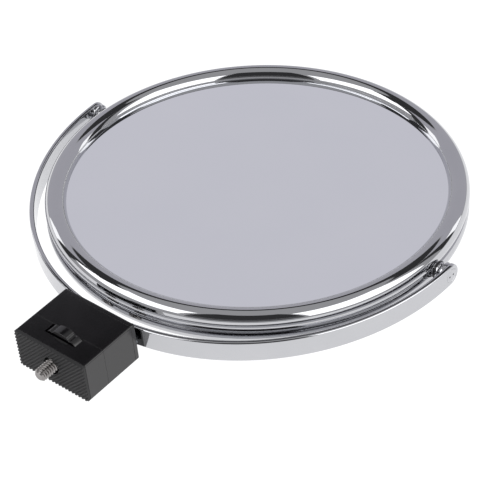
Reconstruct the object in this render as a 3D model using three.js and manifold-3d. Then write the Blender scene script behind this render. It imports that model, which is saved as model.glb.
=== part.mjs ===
// Head of an extending shaving mirror. A round two-sided mirror in a chromed frame swings in a
// half-ring yoke, and the yoke stands on a black block. A hand wheel in the block turns the
// threaded stud that fastens the head to its arm.
//
// Millimetres. The origin is on the stud's axis, in the face of the ribbed pad. +Y points from
// the block towards the mirror, +X along the pivots, and +Z out of the mirror's front.
import * as THREE from 'three';
import { mergeVertices } from 'three/addons/utils/BufferGeometryUtils.js';
import Module from 'manifold-3d';

const wasm = await Module();
wasm.setup();

// Driving dimensions: mirror frame
const rimRadius = 100; // outside of the rolled beads
const beadRadius = 5.1; // each bezel is rolled to a round bead
const seamDepth = 2.6; // rim to the bottom of the groove where the bezels meet
const seamShoulder = 0.75; // height over which a bezel turns from the groove into its bead
const bezelSheet = 0.8;
const seamFlange = 1.9; // width of the flange turned in at the groove
const glassRecess = 4.7; // crown of the bead to the glass
const glassInset = 6.6; // rim to the edge of the glass
const frontGlassThickness = 2;
const rearGlassThickness = 2;
const magnifierSag = 2.2; // the rear glass is hollow by this much at its centre
const glassGap = 1.4; // between the backs of the glasses at their centres
const spacerRingWidth = 7.2;
const hoopSheet = 1.3;
const hoopHeight = 6;
const pivotRise = 3.6; // the pivots are this far above the mirror's centre, so it hangs straight
const restTilt = 3.14; // degrees that the mirror leans in the yoke, its block side up

// Driving dimensions: yoke and pivots
const rimGap = 6.2; // rim to the inside of the band at the pivots
const bandDrop = 3; // the half ring is deeper than its half width by this much
const bandThickness = 2.4;
const bandHeight = 10.8;
const bandEdge = 0.5; // the band's edges are broken by this much
const pinRadius = 2;
const pinHeadRadius = 3.4;
const pinHeadDepth = 1.5;
const wrenchHoleRadius = 0.45; // two holes in the pin's head take a pin wrench
const wrenchHoleSpacing = 2.6;
const wrenchHoleDepth = 0.9;
const socketRadius = 3.2;
const socketFlangeRadius = 3.9;
const socketFlange = 0.6;
const socketFloor = 0.8;
const tailRadius = 2;
const frictionWasherRadius = 4.3;
const frictionWasher = 0.9;
const collarNoseRadius = 4.2;
const collarNose = 1.5;
const collarWaistRadius = 3.3;
const collarFootRadius = 5;
const collarFoot = 1.8;
const collarChamfer = 0.4;

// Driving dimensions: block
const blockHeight = 20.5;
const blockDepth = 33.2; // face of the pad to the back plate
const sideLand = 6.9; // wheel bay to the block's side
const blockCorner = 0.8;
const wall = 2.4;
const frontWall = 3.1;
const padThickness = 1.6;
const ribPitch = 1.4;
const ribDepth = 0.35;
const ribCrest = 0.6;
const ribFloor = 0.4;
const ribAngle = 45; // degrees from the block's width
const padHoleClearance = 1.125; // round the stud
const backPlateThickness = 2.45;
const backPlateBevel = 1.6;
const postRadius = 2.6;
const postSink = 0.1; // a post runs into the side wall by this much
const postRise = 0.35; // and into the top or bottom wall by this much
const housingScrewRadius = 1;
const housingScrewPassage = 0.4; // radial
const housingScrewHeadRadius = 2.1;
const housingScrewHead = 1.4;
const housingScrewEngagement = 6.5; // in the front housing
const yokeScrewX = 9;
const yokeScrewRadius = 1.9;
const yokeScrewHeadRadius = 3.4;
const yokeScrewHead = 2;
const insertRadius = 3;
const insertLength = 8.2;
const insertPostWall = 1.1;
const screwTipCone = 0.6; // a screw's tip, as a share of its radius
const headShoulder = 0.45; // a pan head's straight side, as a share of its height
const headCrown = 0.78; // and its flat crown, as a share of its radius

// Driving dimensions: fastening screw
const studRadius = 3.175; // quarter-inch thread
const studPitch = 1.27;
const threadDepth = 0.42;
const crestFrom = 0.45; // a thread's crest starts and ends at these shares of its pitch
const crestTo = 0.55;
const studProtrusion = 7.6;
const tipChamfer = 0.5;
const shankStep = 0.175; // the shank is thinner than the thread by this much, radial
const shankTaper = 0.3;
const journalRadius = 2.5;
const tailLand = 1.2; // past the groove of the retaining ring
const tailChamfer = 0.4;
const flatDepth = 0.5; // the flat on the shank that drives the wheel
const wheelShow = 2.75; // how far the wheel stands out of the block
const wheelWidth = 4.8;
const wheelFace = 8.1; // face of the pad to the wheel
const wheelLobes = 8;
const wheelGroove = 2.6; // width of the groove between two lobes
const wheelGrooveDepth = 0.8;
const wheelWebRecess = 0.9;
const wheelHubRadius = 5.6;
const wheelRimWidth = 2.6;
const thrustWasher = 0.6;
const thrustWasherRadius = 5.3;
const bossLand = 0.7; // boss round the thrust washer
const partingLand = 0.2; // wheel to the parting of the housings
const bearingWall = 3.2;
const retainingRingRadius = 4.3;
const retainingRing = 0.8;
const ringGrooveDepth = 0.55;
const ringMouth = 3.2;

// Clearances
const seatGap = 0.3; // between touching pieces of the mirror, which is turned in the yoke
const joinGap = 0.15; // between touching pieces of the yoke and block
const snug = 0.1; // radial, for a shank in its hole
const running = 0.15; // radial, for a pin or journal that turns
const wheelClearance = 0.6;
const overcut = 1; // how far a cutting solid runs past the face that it opens

// Number of sides
const ringSides = 56;
const bandSides = 36;
const pinSides = 20;
const screwSides = 12;
const lobeSides = 5;

// Derived places
const degree = Math.PI / 180;
const bandInner = rimRadius + rimGap;
const bandOuter = bandInner + bandThickness;
const bandDepth = bandOuter + bandDrop;
const bandInnerDepth = bandDepth - bandThickness;
const pivotY = blockDepth + joinGap + bandDepth;
const glassFace = (frontGlassThickness + rearGlassThickness + magnifierSag + glassGap) / 2;
const crown = glassFace + glassRecess;
const glassRadius = rimRadius - glassInset;
const seamRadius = rimRadius - seamDepth;
const beadCentreRadius = rimRadius - beadRadius;
const beadCentreHeight = crown - beadRadius;
const hoopOuter = seamRadius - seamFlange - seatGap;
const hoopInner = hoopOuter - hoopSheet;
const wheelRadius = blockHeight / 2 + wheelShow;
const wheelFront = wheelFace;
const wheelRear = wheelFront + wheelWidth;
const bayRadius = wheelRadius + wheelClearance;
const blockWidth = 2 * (bayRadius + sideLand);
const housingFace = padThickness + joinGap;
const partingDepth = wheelRear + partingLand;
const rearHousingStart = partingDepth + joinGap;
const bearingWallEnd = wheelRear + thrustWasher + 2 * joinGap + bearingWall;
const backPlateStart = blockDepth - backPlateThickness;
const rearHousingEnd = backPlateStart - joinGap;
const insertPostRadius = insertRadius + insertPostWall;
const postX = blockWidth / 2 - wall - postRadius + postSink;
const postZ = blockHeight / 2 - wall - postRadius + postRise;
const shankRadius = studRadius - shankStep;
const housingScrewReach = partingDepth - housingScrewEngagement;
const insertStart = rearHousingEnd - insertLength;
const wheelMiddle = (wheelFront + wheelRear) / 2;

// Finishes
const finish = (color, roughness, metalness) =>
  new THREE.MeshStandardMaterial({ color, roughness, metalness });
const chrome = () => finish(0xd5d7dc, 0.08, 1);
const mirrorSilver = () => finish(0xbfc0ca, 0.02, 1);
const steel = () => finish(0xb8b6b2, 0.25, 1);
const zincSteel = () => finish(0xa9acb0, 0.35, 1);
const brass = () => finish(0xb08d4c, 0.35, 1);
const blackPlastic = () => finish(0x1d1d1f, 0.5, 0);
const blackRubber = () => finish(0x2b2b2d, 0.75, 0);
const whitePlastic = () => finish(0xe4e2dc, 0.5, 0);

// A closed geometry as a solid: its vertices merged and its collapsed triangles left out.
function solid(geometry) {
  const bare = geometry.clone();
  bare.deleteAttribute('normal');
  bare.deleteAttribute('uv');
  const merged = mergeVertices(bare, 1e-4);
  const index = merged.index.array;
  const kept = [];
  for (let i = 0; i < index.length; i += 3) {
    const [a, b, c] = [index[i], index[i + 1], index[i + 2]];
    if (a !== b && b !== c && c !== a) kept.push(a, b, c);
  }
  const vertProperties = new Float32Array(merged.attributes.position.array);
  const triVerts = new Uint32Array(kept);
  return new wasm.Manifold(new wasm.Mesh({ numProp: 3, vertProperties, triVerts }));
}

function geometryOf(body) {
  const { vertProperties, triVerts } = body.getMesh();
  const geometry = new THREE.BufferGeometry();
  geometry.setAttribute('position', new THREE.BufferAttribute(vertProperties, 3));
  geometry.setIndex(new THREE.BufferAttribute(triVerts, 1));
  geometry.computeVertexNormals();
  return geometry;
}

// Joins every further solid to the first one, and cuts every further one out of the first.
const join = (first, ...others) => others.reduce((sum, other) => sum.add(other), first);
const cut = (first, ...others) => others.reduce((rest, other) => rest.subtract(other), first);

// Turns a geometry made along +Y so that it runs along another axis.
const turns = {
  '+X': (geometry) => geometry.rotateZ(-Math.PI / 2),
  '-X': (geometry) => geometry.rotateZ(Math.PI / 2),
  '+Y': (geometry) => geometry,
  '+Z': (geometry) => geometry.rotateX(Math.PI / 2),
  '-Z': (geometry) => geometry.rotateX(-Math.PI / 2),
};

// A turned piece from [radius, height] pairs, given anticlockwise round its section.
function turned(axis, sides, section) {
  const points = section.map(([radius, height]) => new THREE.Vector2(radius, height));
  return solid(turns[axis](new THREE.LatheGeometry(points, sides)));
}

function rod(axis, sides, radius, from, to) {
  return turned(axis, sides, [[0, from], [radius, from], [radius, to], [0, to]]);
}

function sleeve(axis, sides, inner, outer, from, to) {
  const section = [[inner, from], [outer, from], [outer, to], [inner, to], [inner, from]];
  return turned(axis, sides, section);
}

function box(width, depth, height, x, y, z) {
  return solid(new THREE.BoxGeometry(width, depth, height).translate(x, y, z));
}

// An outline in X and Z, extruded along Y.
function slab(shape, from, to, options = {}) {
  const settings = { depth: to - from, bevelEnabled: false, curveSegments: 4, ...options };
  const geometry = new THREE.ExtrudeGeometry(shape, settings);
  return solid(geometry.rotateX(Math.PI / 2).translate(0, to, 0));
}

function roundedRectangle(width, height, radius) {
  const [x, y] = [width / 2, height / 2];
  const shape = new THREE.Shape();
  shape.moveTo(-x + radius, -y);
  shape.absarc(x - radius, -y + radius, radius, -Math.PI / 2, 0, false);
  shape.absarc(x - radius, y - radius, radius, 0, Math.PI / 2, false);
  shape.absarc(-x + radius, y - radius, radius, Math.PI / 2, Math.PI, false);
  shape.absarc(-x + radius, -y + radius, radius, Math.PI, 1.5 * Math.PI, false);
  return shape;
}

// Points round a bead's section, with one at the rim and one at the crown.
function beadArc(radius, from, to, steps) {
  const angles = [];
  const marks = [from, 0, Math.PI / 2, to];
  steps.forEach((count, i) => {
    const span = marks[i + 1] - marks[i];
    for (let j = 0; j < count; j += 1) angles.push(marks[i] + (span * j) / count);
  });
  return [...angles, to].map((angle) =>
    [beadCentreRadius + radius * Math.cos(angle), beadCentreHeight + radius * Math.sin(angle)]);
}

// ---- Mirror ----

// The mirror's round pieces are centred on the mirror, and the pivots are above its centre.
const pivotHoles = (radius, from, to) =>
  ['-X', '+X'].map((side) => rod(side, pinSides, radius, from, to).translate([0, pivotRise, 0]));

// A bezel is sheet metal: a flange at the groove, the round bead, and a lip that ends just
// above the glass. The pivot sockets come out between the two bezels.
function bezel(axis) {
  const outside = beadRadius;
  const inside = beadRadius - bezelSheet;
  const foot = seatGap / 2;
  const start = Math.asin((foot + seamShoulder - beadCentreHeight) / outside);
  const end = Math.PI - Math.asin((glassFace + seatGap - beadCentreHeight) / outside);
  const flangeTop = foot + bezelSheet;
  const section = [
    [seamRadius - seamFlange, foot],
    [seamRadius, foot],
    ...beadArc(outside, start, end, [2, 6, 4]),
    ...beadArc(inside, start, end, [1, 2, 2]).reverse(),
    [seamRadius - bezelSheet / 2, flangeTop],
    [seamRadius - seamFlange, flangeTop],
    [seamRadius - seamFlange, foot],
  ];
  return cut(turned(axis, ringSides, section),
    ...pivotHoles(socketRadius + seatGap, hoopOuter, rimRadius + beadRadius));
}

const frontGlass = () =>
  rod('+Z', ringSides, glassRadius, glassFace - frontGlassThickness, glassFace);

// The magnifying glass is a bent sheet, so both its faces have the same hollow.
function rearGlass() {
  const steps = 3;
  const face = (level) => Array.from({ length: steps + 1 }, (_, i) => {
    const share = i / steps;
    return [glassRadius * share, level - magnifierSag * (1 - share * share)];
  });
  const section = [...face(glassFace - rearGlassThickness), ...face(glassFace).reverse()];
  return turned('-Z', ringSides, section);
}

function glassSpacerRing() {
  const inner = glassRadius - spacerRingWidth;
  const hollow = magnifierSag * (1 - (inner / glassRadius) ** 2);
  const bottom = hollow - (glassFace - rearGlassThickness) + seatGap;
  const top = glassFace - frontGlassThickness - seatGap;
  return sleeve('+Z', ringSides, inner, glassRadius, bottom, top);
}

function rimHoop() {
  const hoop = sleeve('+Z', ringSides, hoopInner, hoopOuter, -hoopHeight / 2, hoopHeight / 2);
  return cut(hoop, ...pivotHoles(tailRadius + seatGap, glassRadius, rimRadius));
}

// Places along a pivot, from the hoop outwards
const socketStart = hoopOuter + seatGap;
const socketEnd = rimRadius + seatGap + socketFlange;
const pinStart = socketStart + socketFloor + 2 * joinGap;
const washerStart = socketEnd + joinGap;
const spacerStart = washerStart + frictionWasher + joinGap;
const spacerEnd = bandInner - joinGap;

function pivotSocket(axis) {
  const outer = turned(axis, pinSides, [
    [0, hoopInner],
    [tailRadius, hoopInner],
    [tailRadius, socketStart],
    [socketRadius, socketStart],
    [socketRadius, socketEnd - socketFlange],
    [socketFlangeRadius, socketEnd - socketFlange],
    [socketFlangeRadius, socketEnd],
    [0, socketEnd],
  ]);
  const bore = rod(axis, pinSides, pinRadius + running, socketStart + socketFloor,
    socketEnd + overcut);
  return cut(outer, bore);
}

// ---- Pivots, on the yoke ----

// The pin's head fills a countersink and ends flush with the band.
function pivotPinBlank(axis, grow = 0) {
  const neck = bandOuter - pinHeadDepth;
  return turned(axis, pinSides, [
    [0, pinStart - grow],
    [pinRadius + grow, pinStart - grow],
    [pinRadius + grow, neck],
    [pinHeadRadius + grow, bandOuter],
    [pinHeadRadius + grow, bandOuter + grow],
    [0, bandOuter + grow],
  ]);
}

// Two holes in the head take a pin wrench, one on each side of the middle.
function pivotPin(axis) {
  const wrenchHoles = [-1, 1].map((side) =>
    rod(axis, screwSides, wrenchHoleRadius, bandOuter - wrenchHoleDepth, bandOuter + overcut)
      .translate([0, (side * wrenchHoleSpacing) / 2, 0]));
  return cut(pivotPinBlank(axis), ...wrenchHoles);
}

// The collar holds the band off the mirror: a nose, a waist and a broad foot on the band.
function pivotSpacer(axis) {
  const bore = pinRadius + snug;
  const waistStart = spacerStart + collarNose;
  const footStart = spacerEnd - collarFoot;
  return turned(axis, pinSides, [
    [bore, spacerStart],
    [collarNoseRadius - collarChamfer, spacerStart],
    [collarNoseRadius, spacerStart + collarChamfer],
    [collarNoseRadius, waistStart - collarChamfer],
    [collarWaistRadius, waistStart],
    [collarWaistRadius, footStart],
    [collarFootRadius - collarChamfer, footStart],
    [collarFootRadius, footStart + collarChamfer],
    [collarFootRadius, spacerEnd],
    [bore, spacerEnd],
    [bore, spacerStart],
  ]);
}

const frictionWasherOf = (axis) =>
  sleeve(axis, pinSides, pinRadius + snug, frictionWasherRadius, washerStart, washerStart + frictionWasher);

// ---- Yoke band ----

// The screws' heads sit on the band's inner curve, so the seat is where a head's far edge touches.
const headReach = (yokeScrewX + yokeScrewHeadRadius) / bandInner;
const yokeScrewSeat = joinGap - bandInnerDepth * Math.sqrt(1 - headReach ** 2);

// The band follows half an ellipse below the pivots and runs straight on past them. Its ends
// are rounded about the pins.
function yokeBand() {
  const end = bandHeight / 2;
  const shape = new THREE.Shape();
  shape.moveTo(-bandOuter, end);
  shape.absellipse(0, 0, bandOuter, bandDepth, -Math.PI, 0, false);
  shape.lineTo(bandOuter, end);
  shape.lineTo(bandInner, end);
  shape.absellipse(0, 0, bandInner, bandInnerDepth, 0, -Math.PI, true);
  shape.lineTo(-bandInner, end);
  const geometry = new THREE.ExtrudeGeometry(shape, {
    depth: bandHeight - 2 * bandEdge,
    bevelThickness: bandEdge,
    bevelSize: bandEdge,
    bevelOffset: -bandEdge,
    bevelSegments: 1,
    curveSegments: bandSides,
  });
  const strip = solid(geometry.translate(0, 0, bandEdge - bandHeight / 2));
  const reach = bandDepth + overcut;
  const below = box(2 * bandOuter + overcut, reach, bandHeight, 0, -reach / 2, 0);
  const ends = rod('+X', ringSides, bandHeight / 2, -bandOuter - overcut, bandOuter + overcut);
  const pins = ['-X', '+X'].map((side) => pivotPinBlank(side, snug));
  const screwHoles = [-1, 1].map((side) =>
    rod('+Y', pinSides, yokeScrewRadius + snug, -bandDepth - overcut, yokeScrewSeat + overcut)
      .translate([side * yokeScrewX, 0, 0]));
  return cut(strip.intersect(join(below, ends)), ...pins, ...screwHoles);
}

// ---- Block ----

const corners = [[-1, -1], [1, -1], [-1, 1], [1, 1]];
const atCorner = (body, [x, z]) => body.translate([x * postX, 0, z * postZ]);
const blockOutline = () => roundedRectangle(blockWidth, blockHeight, blockCorner);
const cavity = (from, to) =>
  box(blockWidth - 2 * wall, to - from, blockHeight - 2 * wall, 0, (from + to) / 2, 0);

// A sheet of ribs at an angle, trimmed to the block's outline and pierced for the stud.
function gripPad() {
  const reach = Math.hypot(blockWidth, blockHeight) / 2 + ribPitch;
  const count = 2 * Math.ceil(reach / ribPitch);
  const first = (-count * ribPitch) / 2;
  const flank = (ribPitch - ribCrest - ribFloor) / 2;
  const section = new THREE.Shape();
  section.moveTo(first, padThickness);
  for (let i = 0; i < count; i += 1) {
    const x = first + i * ribPitch;
    section.lineTo(x, ribDepth);
    section.lineTo(x + ribFloor, ribDepth);
    section.lineTo(x + ribFloor + flank, 0);
    section.lineTo(x + ribFloor + flank + ribCrest, 0);
  }
  section.lineTo(first + count * ribPitch, ribDepth);
  section.lineTo(first + count * ribPitch, padThickness);
  const ribs = new THREE.ExtrudeGeometry(section, { depth: 2 * reach, bevelEnabled: false });
  ribs.translate(0, 0, -reach).rotateY((90 - ribAngle) * degree);
  const sheet = solid(ribs).intersect(slab(blockOutline(), -overcut, padThickness));
  return cut(sheet, rod('+Y', pinSides, studRadius + padHoleClearance, -overcut,
    padThickness + overcut));
}

function frontHousing() {
  const shell = slab(blockOutline(), housingFace, partingDepth);
  const inside = cavity(housingFace + frontWall, partingDepth + overcut);
  const post = rod('+Y', screwSides, postRadius, housingFace + frontWall / 2, partingDepth);
  const pilot = rod('+Y', screwSides, housingScrewRadius + snug, housingScrewReach - joinGap,
    partingDepth + overcut);
  const bossEnd = wheelFront - thrustWasher - 2 * joinGap;
  const boss = rod('+Y', pinSides, thrustWasherRadius + bossLand, housingFace + frontWall / 2,
    bossEnd);
  const bore = rod('+Y', pinSides, studRadius + 2 * running, 0, partingDepth);
  const bay = rod('+Y', ringSides, bayRadius, wheelFront - wheelClearance,
    partingDepth + overcut);
  const ribbed = join(cut(shell, inside), boss, ...corners.map((at) => atCorner(post, at)));
  return cut(ribbed, bore, bay, ...corners.map((at) => atCorner(pilot, at)));
}

function rearHousing() {
  const shell = slab(blockOutline(), rearHousingStart, rearHousingEnd);
  const inside = cavity(bearingWallEnd, rearHousingEnd + overcut);
  const post = rod('+Y', screwSides, postRadius, bearingWallEnd - overcut, rearHousingEnd);
  const passage = rod('+Y', screwSides, housingScrewRadius + housingScrewPassage, 0, blockDepth);
  const insertPost = rod('+Y', pinSides, insertPostRadius, bearingWallEnd - overcut,
    rearHousingEnd);
  const insertHole = rod('+Y', pinSides, insertRadius + snug,
    insertStart - joinGap, rearHousingEnd + overcut);
  const recess = rod('+Y', pinSides, thrustWasherRadius + 2 * running, rearHousingStart - overcut,
    wheelRear + thrustWasher + 2 * joinGap);
  const bore = rod('+Y', pinSides, journalRadius + running, 0, bearingWallEnd + overcut);
  const sides = [-1, 1];
  const walls = join(
    cut(shell, inside),
    ...corners.map((at) => atCorner(post, at)),
    ...sides.map((side) => insertPost.translate([side * yokeScrewX, 0, 0])),
  );
  return cut(
    walls,
    recess,
    bore,
    ...corners.map((at) => atCorner(passage, at)),
    ...sides.map((side) => insertHole.translate([side * yokeScrewX, 0, 0])),
  );
}

// The back plate's outer edges are bevelled on the side of the band.
function backPlate() {
  const rim = 2 * backPlateBevel;
  const small = roundedRectangle(blockWidth - rim, blockHeight - rim, blockCorner / 2);
  const bevelled = slab(small, backPlateStart, blockDepth - backPlateBevel, {
    bevelEnabled: true,
    bevelThickness: backPlateBevel,
    bevelSize: backPlateBevel,
    bevelSegments: 1,
  });
  const rear = box(blockWidth, backPlateThickness, blockHeight, 0, (backPlateStart + blockDepth) / 2, 0);
  const front = slab(blockOutline(), backPlateStart, blockDepth - backPlateBevel);
  const plate = join(front, bevelled.intersect(rear));
  const passage = rod('+Y', screwSides, housingScrewRadius + housingScrewPassage, 0,
    blockDepth + overcut);
  const headSeat = rod('+Y', screwSides, housingScrewHeadRadius + snug,
    blockDepth - housingScrewHead - joinGap, blockDepth + overcut);
  const yokeHole = rod('+Y', pinSides, yokeScrewRadius + snug, 0, blockDepth + overcut);
  return cut(
    plate,
    ...corners.flatMap((at) => [atCorner(passage, at), atCorner(headSeat, at)]),
    ...[-1, 1].map((side) => yokeHole.translate([side * yokeScrewX, 0, 0])),
  );
}

// ---- Fasteners ----

function panScrew(sides, shank, head, headHeight, from, seat) {
  const cone = shank * screwTipCone;
  return turned('+Y', sides, [
    [0, from],
    [shank - cone / 2, from],
    [shank, from + cone],
    [shank, seat],
    [head, seat],
    [head, seat + headHeight * headShoulder],
    [head * headCrown, seat + headHeight],
    [0, seat + headHeight],
  ]);
}

const housingScrew = () =>
  panScrew(screwSides, housingScrewRadius, housingScrewHeadRadius, housingScrewHead - joinGap,
    housingScrewReach, blockDepth - housingScrewHead);

const yokeScrew = () =>
  panScrew(pinSides, yokeScrewRadius, yokeScrewHeadRadius, yokeScrewHead, insertStart + joinGap,
    pivotY + yokeScrewSeat);

const threadedInsert = () =>
  sleeve('+Y', pinSides, yokeScrewRadius + snug, insertRadius, insertStart, rearHousingEnd);

// ---- Fastening screw ----

// The thread's ridges are rings of the real pitch, and a flat on the shank drives the wheel.
function threadedStud() {
  const root = studRadius - threadDepth;
  const turnsOfThread = Math.floor((studProtrusion + padThickness) / studPitch);
  const tip = -studProtrusion;
  const threadStart = tip + tipChamfer;
  const section = [[0, tip], [root - tipChamfer, tip]];
  for (let i = 0; i < turnsOfThread; i += 1) {
    const start = threadStart + i * studPitch;
    section.push([root, start]);
    section.push([studRadius, start + studPitch * crestFrom]);
    section.push([studRadius, start + studPitch * crestTo]);
  }
  const threadEnd = threadStart + turnsOfThread * studPitch;
  const grooveStart = bearingWallEnd + joinGap / 2;
  const grooveEnd = grooveStart + retainingRing + joinGap;
  const tailEnd = grooveEnd + tailLand;
  section.push([root, threadEnd]);
  section.push([shankRadius, threadEnd + shankTaper]);
  section.push([shankRadius, wheelRear]);
  section.push([journalRadius, wheelRear]);
  section.push([journalRadius, grooveStart]);
  section.push([journalRadius - ringGrooveDepth, grooveStart]);
  section.push([journalRadius - ringGrooveDepth, grooveEnd]);
  section.push([journalRadius, grooveEnd]);
  section.push([journalRadius, tailEnd - tailChamfer]);
  section.push([journalRadius - tailChamfer, tailEnd]);
  section.push([0, tailEnd]);
  const flat = box(2 * shankRadius, wheelWidth, flatDepth, 0, wheelMiddle,
    shankRadius - flatDepth / 2);
  return cut(turned('+Y', pinSides, section), flat);
}

function thumbwheel() {
  const step = (2 * Math.PI) / wheelLobes;
  const floor = wheelRadius - wheelGrooveDepth;
  const halfGroove = Math.asin(wheelGroove / 2 / wheelRadius);
  const outline = [];
  for (let i = 0; i < wheelLobes; i += 1) {
    const middle = i * step;
    const add = (radius, angle) =>
      outline.push(new THREE.Vector2(radius * Math.cos(angle), radius * Math.sin(angle)));
    for (let j = 0; j <= lobeSides; j += 1) {
      add(wheelRadius, middle + (step - 2 * halfGroove) * (j / lobeSides - 1 / 2));
    }
    add(floor, middle + (step - halfGroove) / 2);
    add(floor, middle + (step + halfGroove) / 2);
  }
  const shape = new THREE.Shape(outline);
  const disc = slab(shape, wheelFront, wheelRear);
  const webOuter = wheelRadius - wheelRimWidth;
  const web = (from, to) => sleeve('+Y', pinSides, wheelHubRadius, webOuter, from, to);
  const webs = [
    web(wheelFront - overcut, wheelFront + wheelWebRecess),
    web(wheelRear - wheelWebRecess, wheelRear + overcut),
  ];
  const bore = rod('+Y', pinSides, shankRadius + snug, wheelFront - overcut, wheelRear + overcut);
  const key = box(2 * wheelHubRadius, wheelWidth + 4 * overcut, flatDepth, 0, wheelMiddle,
    shankRadius - flatDepth / 2 + 1.5 * snug);
  return cut(disc, ...webs, bore.subtract(key));
}

const thrustWasherAt = (start, inner) =>
  sleeve('+Y', pinSides, inner, thrustWasherRadius, start, start + thrustWasher);

function retainingRingOf() {
  const start = bearingWallEnd + joinGap;
  const inner = journalRadius - ringGrooveDepth + snug;
  const ring = sleeve('+Y', pinSides, inner, retainingRingRadius, start, start + retainingRing);
  const mouth = box(ringMouth, retainingRing + 2 * overcut, retainingRingRadius + overcut,
    0, start + retainingRing / 2, -(retainingRingRadius + overcut) / 2);
  return cut(ring, mouth);
}

// ---- Assembly ----

const head = new THREE.Group();
const mirror = new THREE.Group();
mirror.position.set(0, pivotY, 0);
mirror.rotation.x = -restTilt * degree;
const round = new THREE.Group();
round.position.set(0, -pivotRise, 0);
mirror.add(round);
const yoke = new THREE.Group();
yoke.position.set(0, pivotY, 0);
const block = new THREE.Group();
const fasteningScrew = new THREE.Group();
head.add(mirror, yoke, block, fasteningScrew);

function place(group, name, body, material, x = 0, z = 0) {
  const mesh = new THREE.Mesh(geometryOf(body), material);
  mesh.name = name;
  mesh.position.set(x, 0, z);
  group.add(mesh);
}

place(round, 'front_bezel', bezel('+Z'), chrome());
place(round, 'rear_bezel', bezel('-Z'), chrome());
place(round, 'front_glass', frontGlass(), mirrorSilver());
place(round, 'rear_glass', rearGlass(), mirrorSilver());
place(round, 'glass_spacer_ring', glassSpacerRing(), whitePlastic());
place(round, 'rim_hoop', rimHoop(), zincSteel());

place(yoke, 'yoke_band', yokeBand(), chrome());

for (const [side, axis] of [['left', '-X'], ['right', '+X']]) {
  place(mirror, `pivot_socket_${side}`, pivotSocket(axis), chrome());
  place(yoke, `pivot_pin_${side}`, pivotPin(axis), chrome());
  place(yoke, `pivot_spacer_${side}`, pivotSpacer(axis), chrome());
  place(yoke, `friction_washer_${side}`, frictionWasherOf(axis), blackPlastic());
}

place(block, 'grip_pad', gripPad(), blackRubber());
place(block, 'front_housing', frontHousing(), blackPlastic());
place(block, 'rear_housing', rearHousing(), blackPlastic());
place(block, 'back_plate', backPlate(), blackPlastic());

corners.forEach(([x, z], i) => {
  place(block, `housing_screw_${i + 1}`, housingScrew(), zincSteel(), x * postX, z * postZ);
});

for (const [side, x] of [['left', -yokeScrewX], ['right', yokeScrewX]]) {
  place(block, `yoke_screw_${side}`, yokeScrew(), steel(), x);
  place(block, `threaded_insert_${side}`, threadedInsert(), brass(), x);
}

place(fasteningScrew, 'threaded_stud', threadedStud(), steel());
place(fasteningScrew, 'thumbwheel', thumbwheel(), blackPlastic());
place(fasteningScrew, 'thrust_washer_front',
  thrustWasherAt(wheelFront - joinGap - thrustWasher, shankRadius + snug), zincSteel());
place(fasteningScrew, 'thrust_washer_rear',
  thrustWasherAt(wheelRear + joinGap, journalRadius + snug), zincSteel());
place(fasteningScrew, 'retaining_ring', retainingRingOf(), zincSteel());

export default head;
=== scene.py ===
# Head of a two-sided shaving mirror: a chromed frame that swings in a half-ring yoke on a black
# block, with a hand wheel that turns its fastening stud. The mirror comes first, then the yoke
# and its block, the fastening screw and the fittings. MM turns millimetres into metres.
import math

import bmesh
import bpy
from mathutils import Matrix, Vector


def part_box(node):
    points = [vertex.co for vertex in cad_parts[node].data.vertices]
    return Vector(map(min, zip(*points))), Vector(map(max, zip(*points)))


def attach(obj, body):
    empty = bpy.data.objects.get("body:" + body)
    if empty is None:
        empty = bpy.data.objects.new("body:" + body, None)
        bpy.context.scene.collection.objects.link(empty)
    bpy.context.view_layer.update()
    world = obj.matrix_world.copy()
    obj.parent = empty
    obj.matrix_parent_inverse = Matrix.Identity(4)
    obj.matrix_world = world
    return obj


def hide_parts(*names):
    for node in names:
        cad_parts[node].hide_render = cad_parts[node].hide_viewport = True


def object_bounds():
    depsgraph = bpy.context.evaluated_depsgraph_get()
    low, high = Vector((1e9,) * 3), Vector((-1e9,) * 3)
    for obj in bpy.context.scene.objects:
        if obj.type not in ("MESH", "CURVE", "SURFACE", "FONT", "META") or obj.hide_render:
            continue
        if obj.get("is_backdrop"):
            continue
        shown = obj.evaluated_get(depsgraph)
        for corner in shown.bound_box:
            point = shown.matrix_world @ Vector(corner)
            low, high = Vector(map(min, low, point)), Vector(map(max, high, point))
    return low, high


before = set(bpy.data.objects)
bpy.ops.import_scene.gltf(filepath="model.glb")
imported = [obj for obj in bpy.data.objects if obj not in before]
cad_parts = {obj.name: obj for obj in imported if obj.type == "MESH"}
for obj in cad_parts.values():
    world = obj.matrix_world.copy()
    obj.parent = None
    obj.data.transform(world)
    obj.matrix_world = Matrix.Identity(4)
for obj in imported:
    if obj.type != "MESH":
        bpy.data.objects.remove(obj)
cad_low, cad_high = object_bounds()
MM = 0.001

# ---- Rim hoop ----
# A strip of steel rolled into a hoop, welded and zinc plated. It stands behind the groove of
# the frame and takes the load of the two pivots, which are riveted through it.

HOOP_OUTER = 95.2
HOOP_SHEET = 1.3
HOOP_HEIGHT = 6.0
HOOP_HOLE = 2.1
ZINC = "#b4b8bb"
ZINC_SHADE = "#9da2a7"
REST_TILT = math.radians(3.14)  # the mirror leans by this much in the yoke
PIVOT_RISE = 3.6  # the pivots are this far above the middle of the mirror

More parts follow.
